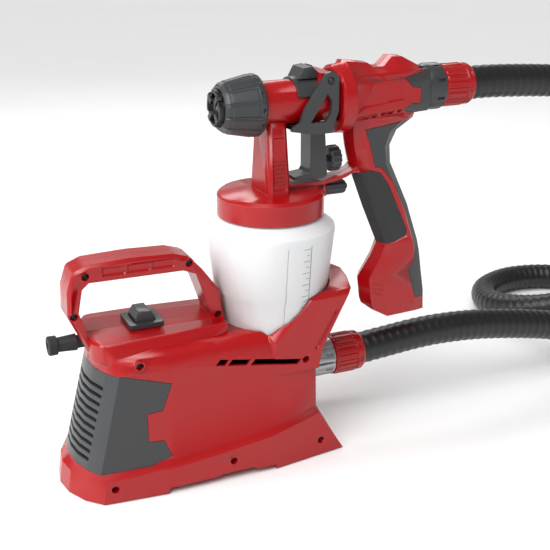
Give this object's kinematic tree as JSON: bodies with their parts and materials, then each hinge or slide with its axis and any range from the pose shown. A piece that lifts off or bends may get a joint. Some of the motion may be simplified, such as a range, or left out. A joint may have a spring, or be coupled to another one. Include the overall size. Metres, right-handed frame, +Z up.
{
  "type": "turbine paint sprayer",
  "caption": "Paint sprayer: a floor unit with motor, turbine, bail handle and cup cradle, joined by an air hose to a cup gun with trigger, fluted nozzle nut and screw-on cup.",
  "frame": {"origin": "centre of the bounding box of the unit and gun without the hose, on the floor under the feet", "axes": "+X from the air intake end of the floor unit towards its hose outlet, -Y the side the casing screws go in from, +Z up"},
  "size_m": [0.8361, 0.295, 0.3525],
  "materials": {
    "red_plastic": "satin moulded, glossy highlights",
    "dark_grey_plastic": "fine-grained satin",
    "soft_grip": "soft matte overmould",
    "black_plastic": "satin",
    "hose_plastic": "ribbed, satin",
    "cup_plastic": "translucent milky white",
    "silver_plastic": "silver-grey",
    "steel": "bright steel",
    "black_screw": "black zinc",
    "turbine_alloy": "pressed sheet",
    "filter_foam": "open-cell foam",
    "black_rubber": "matte",
    "seal": "pale seal ring"
  },
  "bodies": {
    "base": {"casing_near": "red_plastic", "casing_far": "red_plastic", "switch_bezel": "dark_grey_plastic", "strain_relief": "black_rubber", "outlet_ring": "silver_plastic", "air_duct": "dark_grey_plastic", "turbine_housing": "dark_grey_plastic", "motor_can": "steel", "motor_ring_left": "black_rubber", "motor_ring_right": "black_rubber", "foot_left_near": "black_rubber", "foot_left_far": "black_rubber", "foot_right_near": "black_rubber", "foot_right_far": "black_rubber", "air_hose": "hose_plastic", "screw_handle_left_top": "black_screw", "screw_handle_right_top": "black_screw", "screw_handle_left_low": "black_screw", "screw_handle_right_low": "black_screw", "screw_shoulder": "black_screw", "screw_cradle": "black_screw", "screw_foot_left": "black_screw", "screw_foot_middle": "black_screw", "screw_foot_right": "black_screw"},
    "intake": {"end_cover": "dark_grey_plastic", "filter_foam": "filter_foam"},
    "rotor": {"motor_shaft": "steel", "turbine_wheel_1": "turbine_alloy", "turbine_wheel_2": "turbine_alloy"},
    "rocker": {"switch_rocker": "dark_grey_plastic"},
    "outlet_collar": {"base_hose_collar": "red_plastic"},
    "head": {"gun_head": "red_plastic", "barrel_saddle": "dark_grey_plastic", "cup_gasket": "seal", "riser_tube": "cup_plastic", "needle_seal": "seal", "spring_seat": "dark_grey_plastic", "paint_nozzle": "steel", "trigger_pin": "black_screw", "needle_spring": "steel"},
    "paint_cup": {"cup": "cup_plastic"},
    "nut": {"union_nut": "dark_grey_plastic"},
    "front_cap": {"air_cap": "black_plastic"},
    "trigger": {"trigger": "dark_grey_plastic"},
    "flow_control": {"flow_knob": "dark_grey_plastic"},
    "needle": {"needle": "steel"},
    "handle": {"gun_body_near": "red_plastic", "gun_body_far": "red_plastic", "grip_pad": "soft_grip", "back_strap": "dark_grey_plastic", "rear_trim": "dark_grey_plastic", "tail_ring": "dark_grey_plastic", "clamp_screw": "black_screw"},
    "clamp": {"clamp_knob": "dark_grey_plastic"},
    "inlet_collar": {"gun_hose_collar": "red_plastic"}
  },
  "joints": [
    {"name": "rotor_spin", "type": "hinge", "parent": "base", "child": "rotor", "pos_m": [-0.08, 0, 0.0647], "axis": [1, 0, 0], "continuous": true},
    {"name": "intake_pull", "type": "slide", "parent": "base", "child": "intake", "axis": [-1, 0, 0], "range_m": [0, 0.06]},
    {"name": "switch_rock", "type": "hinge", "parent": "base", "child": "rocker", "pos_m": [-0.11735, 0, 0.143], "axis": [0, 1, 0], "range_deg": [-10, 10]},
    {"name": "outlet_collar_turn", "type": "hinge", "parent": "base", "child": "outlet_collar", "pos_m": [0.0788, 0, 0.074], "axis": [1, 0, 0], "range_deg": [0, 30]},
    {"name": "gun_lift", "type": "slide", "parent": "base", "child": "head", "axis": [0, 0, 1], "range_m": [0, 0.09]},
    {"name": "cup_unscrew", "type": "hinge", "parent": "head", "child": "paint_cup", "pos_m": [0.00365, 0, 0.2], "axis": [0, 0, -1], "range_deg": [0, 360]},
    {"name": "nut_unscrew", "type": "hinge", "parent": "head", "child": "nut", "pos_m": [-0.026, 0, 0.318], "axis": [1, 0, 0], "range_deg": [0, 360]},
    {"name": "air_cap_turn", "type": "hinge", "parent": "head", "child": "front_cap", "pos_m": [-0.04, 0, 0.318], "axis": [1, 0, 0], "range_deg": [-90, 90]},
    {"name": "trigger_pull", "type": "hinge", "parent": "head", "child": "trigger", "pos_m": [0.04815, 0, 0.3381], "axis": [0, -1, 0], "range_deg": [0, 5], "stiffness_Nm_per_rad": 3, "springref_deg": -6.88},
    {"name": "flow_adjust", "type": "hinge", "parent": "trigger", "child": "flow_control", "pos_m": [0.062, 0, 0.2655], "axis": [1, 0, 0], "range_deg": [0, 540]},
    {"name": "needle_travel", "type": "slide", "parent": "head", "child": "needle", "axis": [1, 0, 0], "range_m": [0, 0.0018], "deforming": ["needle_spring"]},
    {"name": "handle_twist", "type": "hinge", "parent": "head", "child": "handle", "pos_m": [0.066, 0, 0.318], "axis": [1, 0, 0], "range_deg": [0, 40]},
    {"name": "clamp_turn", "type": "hinge", "parent": "handle", "child": "clamp", "pos_m": [0.0656, 0, 0.2386], "axis": [1, 0, 0], "range_deg": [0, 360]},
    {"name": "inlet_collar_turn", "type": "hinge", "parent": "handle", "child": "inlet_collar", "pos_m": [0.183, 0, 0.322], "axis": [1, 0, 0], "range_deg": [0, 30]}
  ],
  "couplings": [
    {"joint": "needle_travel", "follows": "trigger_pull", "m_per_rad": 0.0201}
  ]
}
